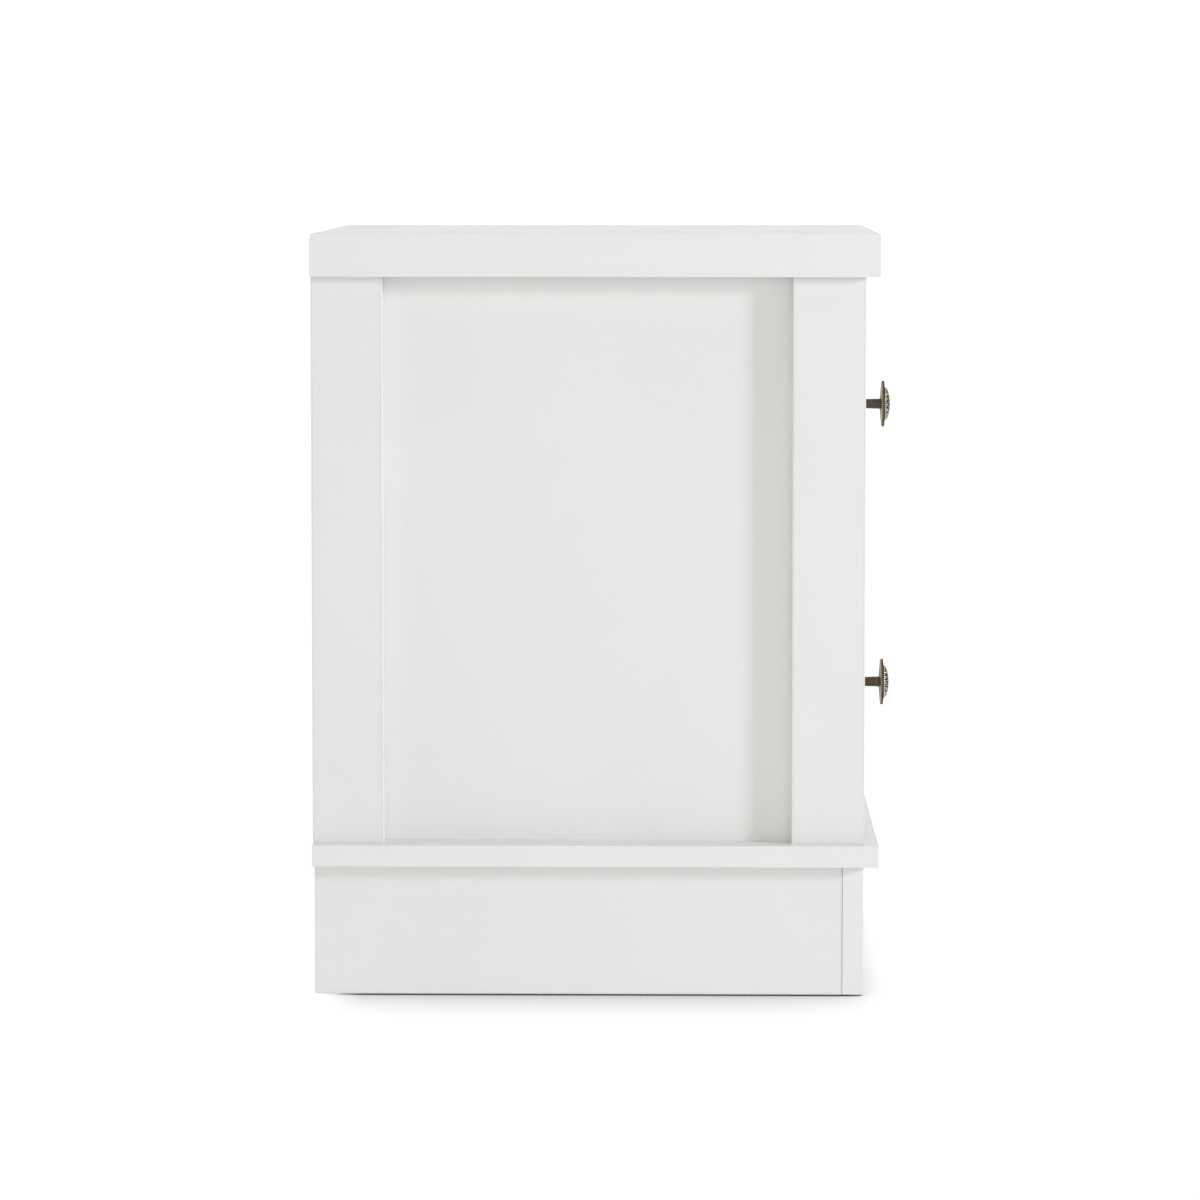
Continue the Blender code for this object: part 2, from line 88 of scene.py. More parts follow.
# Screws and locks. A head's (radius, height) points run from its flat outwards and back, and a cross
# recess is given by its reach and half its width.
PAN_FLAT, PAN_EDGE, PAN_STEPS = 0.62, 0.35, 5
PAN_CROSS_REACH, PAN_CROSS_WIDTH, PAN_CROSS_DEPTH = 0.52, 0.13, 0.7
CROSS_TAPER = 0.7  # of a cross recess towards its floor
HEAD_SEGMENTS = 32
KNOB_SCREW_HEAD = 0.0040
KNOB_SCREW_HEAD_HEIGHT = 0.0022
KNOB_SCREW_SHANK = 0.0019
SHANK_SEGMENTS = 24
KNOB_SCREW_SHORTFALL = 0.0024  # from the end of the shank to the top of the head
CAM_EDGE = 0.0008
CAM_SEGMENTS = 40
CAM_CROSS_REACH, CAM_CROSS_WIDTH, CAM_CROSS_DEPTH = 0.55, 0.12, 0.0035
CONFIRMAT_HEAD = ((0.0040, 0), (0.0048, -0.0006), (0.0033, -0.0024), (0.0033, -0.0115), (0.0024, -0.0118))
CONFIRMAT_TURNS = 9
CONFIRMAT_PITCH = 0.0036
CONFIRMAT_THREAD_START = -0.0125
CONFIRMAT_THREAD = ((0.0018, 0), (0.0026, -0.0012), (0.0018, -0.0024))
CONFIRMAT_TIP = 0.0008
CONFIRMAT_CROSS = (0.0026, 0.0006)
CONFIRMAT_CROSS_DEPTH = 0.0018
SIDE_SCREW_HEAD = ((0.0042, 0.0004), (0.0046, 0.0002), (0.0046, -0.0010))
SIDE_SCREW_CROSS_DEPTH = 0.0012
SIDE_SCREW_SHARES = (0.25, 0.78)  # of the drawer side's height
SIDE_SCREW_INSET = 0.006
DRAWER_CAM = ((0.0066, 0.0004), (0.0072, 0.0001), (0.0072, -0.0020))
DRAWER_CAM_CROSS = (0.0040, 0.0009)
DRAWER_CAM_INSET = 0.034

# Knobs
DOME_RADIUS = 0.0126
DOME_HEIGHT = 0.0042  # above the disc's front
DOME_GAP = 0.0002  # between the dome's foot and the channel round it
RELIEF = 0.00045  # height of the cast relief on the dome
RIM_WIDTH = 0.0023
RIM_BULGE = 0.0006
RIM_MARGIN = 0.0012  # between the disc's dished back and its rim
RIM_SHOULDER = 0.0014  # from the rim to the end of its front
RIM_STEPS = 8
MILLED = 0.0007  # this far in from the rim the milling shows
MILLING_DEPTH = 0.00022
DISH = 0.0008  # by which the disc's back is dished
DISC_STEPS = 10
CHANNEL_START = 0.0020  # from the rim to the channel between it and the dome
CHANNEL_DEPTH = 0.0004
SLIGHT = 0.0001
KNOB_FOOT = (
    (0, 0),
    (0.0052, 0),
    (0.0055, 0.0003),
    (0.0055, 0.0012),
    (0.0051, 0.0017),
    (0.0043, 0.0023),
    (0.0037, 0.0030),
)
STEM_FOOT = 0.0034  # radius of the stem above its foot
STEM_HEAD = 0.0037  # and under the disc
STEM_START = 0.0040
STEM_STEPS = 6
STEM_ROUND = 0.0003
COLLAR_SPREAD = 0.0011
COLLAR_HEIGHT = 0.0014
COLLAR_TURN = 0.0010
KNOB_SEGMENTS = 432
DOME_RINGS = 84
RIM_LOBES = 68
BEADS = 46
LEAVES = 16
PETALS = 8

# The dome's ornaments, in millimetres: a leaf or a petal by where it starts, its length and half its width
BEAD_REACH, BEAD_RADIUS = 0.78, 0.74
OUTER_LEAF = (3.7, 2.3, 1.05)
INNER_LEAF = (7.3, 4.5, 0.80)
PETAL = (12.2, 4.3, 1.35)
ROPE_REACH, ROPE_WIDTH = 7.6, 0.40
CROWN_RADIUS = 1.5

# How far the brass is worn bright, from 0, black, to 1, pale. The disc's back and the rim's rear half are
# also painted lighter, as light caught off the drawer front, and the rim's edge and front are painted
# darker, as shade.
STEM_WEAR = 0.29
DISC_WEAR = 0.46
BACK_WEAR_AND_LIGHT = 0.68
CHANNEL_WEAR = 0.30
RIM_WEAR_AND_SHADE = 0.16
REAR_LOBE_WEAR_AND_LIGHT, FRONT_LOBE_WEAR_AND_SHADE = 0.42, 0.10
GROUND_WEAR, RELIEF_WEAR = -0.10, 1.45
CROWN_DULLING = 0.45

# Studio
CAMERA_PLACE = (-3.926, -0.057, 0.603)
CAMERA_AIM = (0, 0.0072, 0.2652)
CAMERA_LENS = 159.2
KEY_DIRECTION = Vector((-1.0, -1.93, 0.52)).normalized()
KEY_AIM = Vector((0, 0, 0.3))
KEY_DISTANCE = 4.5
KEY_SIZE = 0.58
KEY_POWER = 85.0
KEY_TINT = (0.97, 0.99, 1.03)
ROOM_LIGHT = 0.12
ROOM_TINT = (1.0, 0.994, 0.982)
LEFT_PANEL, RIGHT_PANEL, FRONT_PANEL, BACK_PANEL = 1.96, 2.2, 0.55, 3.0
PANEL_FOCUS = 8.0
CEILING_LIGHT = 1.15
CEILING_FOCUS = 4.0
OPEN_WHITE = 1.07
FLOOR_WHITE = (0.85, 0.85, 0.85)
FLOOR_GLOW = 0.155
FLOOR_REACH = 30.0
FLOOR_CLEARANCE = 0.0002
CONTACT_REACH = 0.15
PAINTED_SHADOW_ENDS = (0.170, 0.215)  # past these, front and back, no painted contact shadow is drawn on the floor


# ---------------------------------------------------------------------------------------------- shading


class Signal:
    """One output of a shader node. Arithmetic on it adds Math nodes."""

    def __init__(self, shading, socket):
        self.shading = shading
        self.socket = socket

    def output(self, name):
        """Another output of the same node."""
        return Signal(self.shading, self.socket.node.outputs[name])

    def math(self, operation, *values):
        return self.shading.node("ShaderNodeMath", {"operation": operation}, dict(enumerate(values)))

    def __add__(self, other):
        return self.math("ADD", self, other)

    def __sub__(self, other):
        return self.math("SUBTRACT", self, other)

    def __rsub__(self, other):
        return self.math("SUBTRACT", other, self)

    def __mul__(self, other):
        return self.math("MULTIPLY", self, other)

    __radd__ = __add__
    __rmul__ = __mul__

    def above(self, low, high):
        """A smooth step: 0 up to `low`, 1 from `high`."""
        settings = {"interpolation_type": "SMOOTHSTEP"}
        return self.shading.node("ShaderNodeMapRange", settings, {0: self, 1: low, 2: high})

    def power(self, exponent):
        return self.math("POWER", self, exponent)

    def least(self, other):
        return self.math("MINIMUM", self, other)

    def most(self, other):
        return self.math("MAXIMUM", self, other)


class Shading:
    """The nodes of a material, or of the world."""

    def __init__(self, tree):
        self.tree = tree

    def node(self, kind, settings=None, inputs=None, output=0):
        """Adds a node: its settings first, then the values or links of its sockets."""
        made = self.tree.nodes.new(kind)
        for name, value in (settings or {}).items():
            if name == "stops":
                fill_ramp(made.color_ramp, value)
            else:
                setattr(made, name, value)
        for name, value in (inputs or {}).items():
            if isinstance(value, Signal):
                self.tree.links.new(value.socket, made.inputs[name])
            else:
                made.inputs[name].default_value = value
        return Signal(self, made.outputs[output])

    def place(self):
        return self.node("ShaderNodeTexCoord", output="Object")

    def stretched(self, vector, scale):
        """A pattern's own coordinates, stretched along each axis."""
        return self.node("ShaderNodeMapping", {}, {"Vector": vector, "Scale": scale})

    def noise(self, vector, scale, detail=2.0, roughness=0.5, distortion=0.0):
        inputs = {"Vector": vector, "Scale": scale, "Detail": detail}
        inputs |= {"Roughness": roughness, "Distortion": distortion}
        return self.node("ShaderNodeTexNoise", {}, inputs)

    def cells(self, vector, scale, output="Distance"):
        return self.node("ShaderNodeTexVoronoi", {}, {"Vector": vector, "Scale": scale}, output)

    def mixed(self, factor, first, second):
        """A colour between two others."""
        first, second = (c if isinstance(c, Signal) else (*c, 1.0) for c in (first, second))
        inputs = {0: factor, 6: first, 7: second}
        return self.node("ShaderNodeMix", {"data_type": "RGBA"}, inputs, output=2)

    def ramp(self, factor, *stops):
        return self.node("ShaderNodeValToRGB", {"stops": stops}, {0: factor})

    def vector_attribute(self, name):
        return self.node("ShaderNodeAttribute", {"attribute_name": name}, output="Vector")

    def number_attribute(self, name):
        return self.node("ShaderNodeAttribute", {"attribute_name": name}, output="Fac")

    def axes(self, vector):
        x = self.node("ShaderNodeSeparateXYZ", {}, {0: vector}, "X")
        return x, x.output("Y"), x.output("Z")

    def bump(self, height, distance, strength):
        inputs = {"Height": height, "Distance": distance, "Strength": strength}
        return self.node("ShaderNodeBump", {}, inputs)


def fill_ramp(ramp, stops):
    while len(ramp.elements) < len(stops):
        ramp.elements.new(1.0)
    for element, (position, colour) in zip(ramp.elements, stops):
        element.position = position
        element.color = (*colour, 1.0)


def finish(name, inputs, build):
    """A material: its plain values, and what `build` links to the shader's varying sockets."""
    material = bpy.data.materials.new(name)
    material.use_nodes = True
    shader = material.node_tree.nodes["Principled BSDF"]
    shading = Shading(material.node_tree)
    for socket, value in inputs.items():
        shader.inputs[socket].default_value = value
    for socket, value in build(shading).items():
        material.node_tree.links.new(value.socket, shader.inputs[socket])
    return material


def laminate_surface(s, tone, seams):
    """White melamine: a faint pearl in the paper, a fine press texture, and a hairline at the edge band."""
    place = s.place()
    pearl = s.noise(place, 420, 3.0, 0.6)
    cloud = s.noise(place, 7, 2.0)
    handling = s.noise(s.stretched(place, (3, 3, 1.2)), 5, 4.0, 0.65)
    white = s.mixed(cloud.above(0.35, 0.65), tone, tuple(c * 0.985 for c in tone))
    white = s.mixed(pearl.above(0.56, 0.74) * 0.35, white, tuple(c * 0.955 for c in tone))
    height = pearl * 0.5 + s.noise(place, 1400, 2.0) * 0.5
    if seams:
        seam = seam_line(s)
        white = s.mixed(seam * 0.42, white, tuple(c * 0.45 for c in tone))
        height = height - seam * 3
    return {
        "Base Color": white,
        "Roughness": 0.46 + handling.above(0.45, 0.75) * 0.07 + pearl * 0.04,
        "Normal": s.bump(height, 0.00003, 0.5),
    }


def seam_line(s):
    """1 on the hairline between a face and its edge band, from the way to the board's nearest edges."""
    nearest = s.node(
        "ShaderNodeVectorMath",
        {"operation": "MINIMUM"},
        {0: s.vector_attribute("past_low"), 1: s.vector_attribute("short_of_high")},
    )
    x, y, z = s.axes(nearest)
    inwards = x.least(y).most(x.most(y).least(z))
    off = (inwards - EDGE_BAND).math("ABSOLUTE", inwards - EDGE_BAND)
    return 1 - off.above(SEAM_WIDTH * 0.35, SEAM_WIDTH)


def chipboard_surface(s):
    """A sawn edge of chipboard: flakes in browns and straw, with open pores between them."""
    place = s.stretched(s.place(), (1.0, 1.0, 2.2))
    flakes = s.cells(place, 520, output="Color")
    shade = s.axes(flakes)[0]
    pores = s.noise(place, 900, 2.0, 0.6)
    wood = s.ramp(
        shade,
        (0.0, (0.30, 0.19, 0.10)),
        (0.35, (0.52, 0.37, 0.21)),
        (0.7, (0.63, 0.48, 0.30)),
        (1.0, (0.73, 0.60, 0.42)),
    )
    return {
        "Base Color": s.mixed(pores.above(0.58, 0.72), wood, (0.14, 0.09, 0.05)),
        "Normal": s.bump(shade - pores.above(0.55, 0.72) * 1.5, 0.00025, 0.6),
    }


def hardboard_surface(s):
    """Thin fibreboard under a white coat: the fibres show through as a soft, slightly uneven grain."""
    place = s.place()
    fibres = s.noise(place, 260, 5.0, 0.7, 0.6)
    coat = s.noise(place, 16, 3.0)
    screen = s.cells(place, 900)
    white = s.mixed(fibres.above(0.42, 0.72) * 0.5, (0.76, 0.75, 0.72), (0.66, 0.64, 0.59))
    return {
        "Base Color": s.mixed(coat.above(0.4, 0.7) * 0.3, white, (0.79, 0.78, 0.75)),
        "Roughness": 0.52 + fibres * 0.14,
        "Normal": s.bump(fibres + screen * 0.25, 0.00012, 0.6),
    }


def beech_surface(s):
    """Sawn beech: short dark flecks along the grain, over slow bands."""
    place = s.place()
    bands = s.noise(s.stretched(place, (90, 90, 9)), 1, 3.0, 0.5, 0.6)
    flecks = s.noise(s.stretched(place, (900, 900, 110)), 1, 2.0, 0.6)
    wood = s.ramp(bands, (0.3, (0.50, 0.31, 0.16)), (0.55, (0.62, 0.42, 0.24)), (0.75, (0.68, 0.49, 0.30)))
    return {
        "Base Color": s.mixed(flecks.above(0.60, 0.70) * 0.6, wood, (0.30, 0.16, 0.08)),
        "Roughness": 0.6 + bands * 0.15,
        "Normal": s.bump(flecks + bands * 0.5, 0.0002, 0.5),
    }


def enamel_surface(s):
    """White epoxy enamel on sheet steel: orange peel, and grey where the rollers have polished it."""
    place = s.place()
    peel = s.noise(place, 700, 2.0, 0.4)
    track = s.noise(s.stretched(place, (500, 6, 500)), 1, 3.0, 0.6)
    worn = track.above(0.60, 0.75) * 0.35
    return {
        "Base Color": s.mixed(worn, (0.78, 0.78, 0.765), (0.50, 0.50, 0.49)),
        "Roughness": 0.30 + peel * 0.12,
        "Normal": s.bump(peel, 0.00006, 0.5),
    }


def zinc_surface(s):
    """Bright zinc plate: a blue and straw bloom, and fine wear."""
    place = s.place()
    bloom = s.noise(place, 130, 3.0, 0.6, 0.5)
    wear = s.noise(place, 1600, 2.0, 0.6)
    blued = s.mixed(bloom.above(0.35, 0.65), (0.55, 0.58, 0.63), (0.66, 0.63, 0.55))
    return {
        "Base Color": s.mixed(wear.above(0.55, 0.75) * 0.4, blued, (0.36, 0.36, 0.36)),
        "Roughness": 0.26 + wear * 0.2,
        "Normal": s.bump(wear, 0.00004, 0.4),
    }


def nylon_surface(s):
    """Moulded nylon, a little cloudy, polished where it rolls."""
    place = s.place()
    cloud = s.noise(place, 220, 3.0, 0.6)
    grain = s.noise(place, 2400, 2.0)
    return {
        "Base Color": s.mixed(cloud.above(0.35, 0.7), (0.78, 0.77, 0.72), (0.70, 0.69, 0.63)),
        "Roughness": 0.34 + grain * 0.14,
        "Normal": s.bump(grain, 0.00004, 0.4),
    }


def glide_surface(s):
    """Dark moulded plastic, scuffed where it slides on floors."""
    place = s.place()
    scuffs = s.noise(s.stretched(place, (700, 120, 700)), 1, 3.0, 0.6)
    return {
        "Base Color": s.mixed(scuffs.above(0.5, 0.7) * 0.5, (0.035, 0.033, 0.030), (0.090, 0.086, 0.080)),
        "Roughness": 0.45 + scuffs * 0.2,
        "Normal": s.bump(scuffs, 0.00005, 0.5),
    }


def antique_brass_surface(s):
    """Brass, nearly black in its hollows, brown where it is plain, and worn pale on what stands proud,
    paler than worn brass would be, partly a painted highlight. The wear value also carries painted light on
    the disc's back and the rim's rear, and painted shade on the rim's edge.
    """
    place = s.place()
    mottle = s.noise(place, 900, 4.0, 0.65, 0.4)
    cloud = s.noise(place, 210, 2.0, 0.5)
    pits = s.noise(place, 3200, 2.0, 0.6)
    rubbed = s.number_attribute("rubbed") + (mottle - 0.5) * 0.22 + (cloud - 0.5) * 0.12
    tone = s.ramp(
        rubbed,
        (0.02, (0.013, 0.010, 0.007)),
        (0.30, (0.125, 0.098, 0.073)),
        (0.50, (0.300, 0.245, 0.160)),
        # partly painted highlight: this stop is paler than worn brass, standing in for the key light's
        # glints
        (0.85, (0.880, 0.800, 0.660)),
    )
    polish = rubbed.above(0.2, 0.8)
    return {
        "Base Color": s.mixed(pits.above(0.52, 0.72) * 0.5, tone, (0.055, 0.044, 0.030)),
        "Roughness": 0.46 - polish * 0.22 + pits * 0.10,
        "Normal": s.bump(mottle * 0.6 + pits * 0.4, 0.00005, 0.5),
    }


def make_finishes():
    face_white = (0.800, 0.800, 0.786)
    band_white = (0.810, 0.810, 0.810)
    return {
        "face": finish("white_laminate_face", {}, lambda s: laminate_surface(s, face_white, True)),
        "band": finish("white_edge_band", {}, lambda s: laminate_surface(s, band_white, False)),
        "sawn": finish("sawn_chipboard", {"Roughness": 0.85}, chipboard_surface),
        "hardboard": finish("coated_hardboard", {}, hardboard_surface),
        "beech": finish("sawn_beech", {}, beech_surface),
        "runner_enamel": finish("runner_enamel", {}, enamel_surface),
        "zinc_plate": finish("bright_zinc", {"Metallic": 1.0}, zinc_surface),
        "nylon": finish("moulded_nylon", {}, nylon_surface),
        "glide": finish("glide_plastic", {}, glide_surface),
        "antique_brass": finish("antique_brass", {"Metallic": 1.0}, antique_brass_surface),
    }


# ----------------------------------------------------------------------------------------------- pieces


def show(name, shape, materials, body, stands_for=()):
    """Makes a bmesh a piece of the object, on its body."""
    mesh = bpy.data.meshes.new(name)
    shape.to_mesh(mesh)
    shape.free()
    for material in materials:
        mesh.materials.append(material)
    piece = bpy.data.objects.new(name, mesh)
    bpy.context.scene.collection.objects.link(piece)
    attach(piece, body)
    if stands_for:
        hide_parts(*stands_for)
    return piece


def copy_of(node):
    """A CAD node's shape, with its loose triangles joined up and its flat faces whole."""
    shape = bmesh.new()
    shape.from_mesh(frame["nodes"][node].data)
    bmesh.ops.remove_doubles(shape, verts=shape.verts, dist=1e-6)
    bmesh.ops.dissolve_limit(shape, angle_limit=math.radians(1), verts=shape.verts, edges=shape.edges)
    return shape


def ease(shape, width, along=None):
    """Rounds the long sharp edges, or only those along one axis, with smooth strips between flat faces."""
    sharp = []
    for edge in shape.edges:
        run = edge.verts[1].co - edge.verts[0].co
        wanted = along is None or abs(run[along]) > ALIGNED * run.length
        if wanted and run.length > SHORTEST_ARRIS and edge.calc_face_angle(0) > SHARP:
            sharp.append(edge)
    made = bmesh.ops.bevel(
        shape,
        geom=sharp,
        offset=width,
        segments=ARRIS_SEGMENTS,
        profile=0.5,
        affect="EDGES",
        material=-1,
    )
    for face in made["faces"]:
        face.smooth = True


def swollen(shape, middle, amount):
    """Moves a board's faces out by a hair."""
    for vertex in shape.verts:
        for axis in range(3):
            vertex.co[axis] += math.copysign(amount, vertex.co[axis] - middle[axis])


def laminated(node, finishes, arris=ARRIS, sawn=(), closing=JOINT_CLOSING, along=None):
    """A laminated board: banded edges, or sawn ones on the sides named, each as an axis and a direction."""
    low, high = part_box(node)
    size = high - low
    thin = min(range(3), key=lambda axis: size[axis])
    shape = copy_of(node)
    swollen(shape, (low + high) / 2, closing)
    ease(shape, arris, along)
    for face in shape.faces:
        if abs(face.normal[thin]) > ALIGNED:
            face.material_index = 0
        elif any(face.normal[axis] * direction > ALIGNED for axis, direction in sawn):
            face.material_index = 2
        else:
            face.material_index = 1
    materials = [finishes["face"], finishes["band"], finishes["sawn"]]
    board = show(f"{node}_laminated", shape, materials, BODY_OF[node], [node])
    past_low = board.data.attributes.new("past_low", "FLOAT_VECTOR", "POINT")
    short_of_high = board.data.attributes.new("short_of_high", "FLOAT_VECTOR", "POINT")
    for vertex in board.data.vertices:
        past_low.data[vertex.index].vector = vertex.co - low
        short_of_high.data[vertex.index].vector = high - vertex.co


def make_boards(finishes):
    downwards, upwards, rearwards = (2, -1), (2, 1), (1, 1)
    for node in ("top_panel", "base_panel"):
        laminated(node, finishes)
    for side in SIDES:
        panel = f"{side}_side_panel"
        laminated(panel, finishes, SMALL_ARRIS, sawn=(upwards, downwards), along=UPRIGHT)
        laminated(f"plinth_{side}", finishes, sawn=(downwards,), closing=0)
        for level in LEVELS:
            laminated(f"{side}_{level}_stile", finishes, along=UPRIGHT)
    laminated("plinth_front", finishes, sawn=(downwards,), closing=0)
    laminated("plinth_rear", finishes, sawn=(downwards,), closing=0)
    laminated("middle_rail", finishes, SMALL_ARRIS, sawn=(rearwards,))
    for drawer in DRAWERS:
        laminated(f"{drawer}_drawer_front", finishes)
        laminated(f"{drawer}_drawer_back", finishes, SMALL_ARRIS, sawn=(downwards,))
        for side in SIDES:
            board = f"{drawer}_drawer_{side}_side"
            laminated(board, finishes, SMALL_ARRIS, sawn=(downwards, rearwards))


def eased_copy(node, material, width):
    shape = copy_of(node)
    ease(shape, width)
    show(f"{node}_finished", shape, [material], BODY_OF[node], [node])


def make_plain_pieces(finishes):
    """Pieces whose CAD shape is right but for their edges: thin boards, blocks and sheet-steel runners."""
    eased_copy("back_panel", finishes["hardboard"], SMALL_ARRIS)
    for side in SIDES:
        for level in LEVELS:
            eased_copy(f"corner_block_{side}_{level}", finishes["beech"], ARRIS)
            eased_copy(f"floor_glide_{side}_{level}", finishes["glide"], SMALL_ARRIS)
    for drawer in DRAWERS:
        eased_copy(f"{drawer}_drawer_bottom", finishes["hardboard"], SMALL_ARRIS)
        for side in SIDES:
            eased_copy(f"{drawer}_{side}_cabinet_runner", finishes["runner_enamel"], SMALL_ARRIS)
            eased_copy(f"{drawer}_{side}_drawer_runner", finishes["runner_enamel"], SMALL_ARRIS)


def spun(profile, segments):
    """A profile of (radius, height) points spun round the Z axis into a closed skin."""
    shape = bmesh.new()
    points = [shape.verts.new((radius, 0, height)) for radius, height in profile]
    rings = [shape.edges.new(pair) for pair in zip(points, points[1:])]
    bmesh.ops.spin(
        shape, geom=points + rings, axis=(0, 0, 1), angle=2 * math.pi, steps=segments, use_merge=True
    )
    bmesh.ops.remove_doubles(shape, verts=shape.verts, dist=1e-7)
    bmesh.ops.recalc_face_normals(shape, faces=shape.faces)
    return shape


def smoothed(piece, angle=35):
    piece.data.shade_smooth()
    piece.data.set_sharp_from_angle(angle=math.radians(angle))


def turned_to(direction, place):
    """Puts a shape that was made along +Z at a place, along a direction."""
    return Matrix.Translation(place) @ Vector(direction).to_track_quat("Z", "Y").to_matrix().to_4x4()


# Rollers


def roller_profile(half, radius):
    """A closed profile of a roller: bore, hub, hollowed web and crowned tyre."""
    tyre = radius - ROLLER_TYRE
    one_side = [
        (ROLLER_BORE, half - ROLLER_LIP),
        (ROLLER_BORE + ROLLER_LIP, half),
        (ROLLER_HUB - ROLLER_LIP, half),
        (ROLLER_HUB, half - ROLLER_LIP),
        (ROLLER_HUB, ROLLER_WEB),
        (tyre, ROLLER_WEB),
        (tyre, half - ROLLER_LIP),
        (tyre + ROLLER_LIP, half),
        (radius - 2 * ROLLER_LIP, half),
        (radius - 0.2 * ROLLER_LIP, half - 2 * ROLLER_LIP),
    ]
    other_side = [(out, -width) for out, width in reversed(one_side)]
    return one_side + [(radius, 0)] + other_side + one_side[:1]


def make_rollers(finishes):
    for drawer in DRAWERS:
        for side in SIDES:
            for place in ("cabinet", "drawer"):
                node = f"{drawer}_{side}_{place}_roller"
                low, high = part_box(node)
                half, radius = (high.x - low.x) / 2, (high.z - low.z) / 2
                shape = spun(roller_profile(half, radius), ROLLER_SEGMENTS)
                shape.transform(turned_to((1, 0, 0), (low + high) / 2))
                roller = show(f"{node}_moulded", shape, [finishes["nylon"]], BODY_OF[node], [node])
                smoothed(roller)


# Knobs


def hump(offset, half_width):
    """A rounded hump: 1 in its middle, 0 past its half width."""
    return math.sqrt(max(0.0, 1 - (offset / half_width) ** 2))


def from_nearest(count, angle, phase=0.0):
    """The angle from the nearest of `count` evenly spaced directions."""
    step = 2 * math.pi / count
    return (angle - phase * step + step / 2) % step - step / 2


def leaf_relief(along, across, width):
    """A leaf that swells and comes to a point, with a sunken vein and ribs. `along` runs from 0 to 1."""
    if not 0 < along < 1:
        return 0.0
    half = width * math.sin(math.pi * along**0.7) ** 0.7
    if half < 0.02:
        return 0.0
    body = hump(across, half) * (0.75 + 0.25 * along)
    vein = 0.45 * math.exp(-((across / 0.18) ** 2))
    ribs = 0.14 * math.cos(2 * math.pi * (along * 4.5 + abs(across) * 0.9))
    return max(0.0, body * (1 - vein) + ribs * hump(across, half))


def dome_relief(reach, radius, angle):
    """The dome's relief, from 0 to 1. `reach` is the way in from its foot, `radius` the way out, in mm."""

    def leaf(measures, count, phase=0.0):
        start, length, width = measures
        across = from_nearest(count, angle, phase) * radius
        return leaf_relief((start - reach) / length, across, width)

    bead = math.hypot(reach - BEAD_REACH, from_nearest(BEADS, angle) * radius)
    rope = 0.55 + 0.25 * math.cos(angle * 2 * LEAVES + reach * 5)
    return max(
        hump(bead, BEAD_RADIUS),
        leaf(OUTER_LEAF, LEAVES),
        leaf(INNER_LEAF, LEAVES, 0.5),
        rope * hump(reach - ROPE_REACH, ROPE_WIDTH),
        leaf(PETAL, PETALS),
        hump(radius, CROWN_RADIUS),
    )


def dome_profile(radius, height, steps):
    """A quarter ellipse from foot to crown, as (radius, height, outward direction, way from the foot)."""
    profile = []
    way, last = 0.0, None
    for step in range(steps + 1):
        turn = math.pi / 2 * step / steps
        place = Vector((radius * math.cos(turn), height * math.sin(turn)))
        outward = Vector((height * math.cos(turn), radius * math.sin(turn))).normalized()
        way += (place - last).length if last else 0.0
        last = place
        profile.append((place.x, place.y, outward, way))
    return profile


def stem_and_disc(reach, rim):
    """A knob's profile from its foot, up the stem, out over the disc's back and round its rim."""
    front = reach - DOME_HEIGHT
    back = front - RIM_WIDTH
    profile = list(KNOB_FOOT) + [(STEM_FOOT, STEM_START)]
    for step in range(1, STEM_STEPS + 1):
        share = step / STEM_STEPS
        radius = STEM_FOOT + (STEM_HEAD - STEM_FOOT) * share
        profile.append((radius, STEM_START + (back - COLLAR_HEIGHT - STEM_START) * share))
    collar = STEM_HEAD + COLLAR_SPREAD
    profile += [(STEM_HEAD + STEM_ROUND, back - COLLAR_TURN), (collar, back - DISH)]
    for step in range(1, DISC_STEPS + 1):
        share = step / DISC_STEPS
        profile.append((collar + (rim - RIM_MARGIN - collar) * share, back - DISH * (1 - share)))
    half = RIM_WIDTH / 2
    for step in range(RIM_STEPS + 1):
        turn = math.pi * (step / RIM_STEPS - 0.5)
        out = rim - RIM_BULGE + RIM_BULGE * math.cos(turn)
        profile.append((out, back + half + (half - SLIGHT) * math.sin(turn)))
    profile += [(rim - RIM_SHOULDER, front - SLIGHT), (rim - CHANNEL_START, front - CHANNEL_DEPTH)]
    profile.append((DOME_RADIUS + DOME_GAP, front - CHANNEL_DEPTH))
    return profile, back, front


def plain_wear_and_light(out, height, back):
    """The wear on the disc and the stem, at a way out from the axis and a height above the foot. The disc's
    back is painted lighter, as light caught off the drawer front.
    """
    if out > DOME_RADIUS:
        return BACK_WEAR_AND_LIGHT if height < back + CHANNEL_DEPTH else CHANNEL_WEAR
    return DISC_WEAR if out > STEM_HEAD + COLLAR_TURN else STEM_WEAR


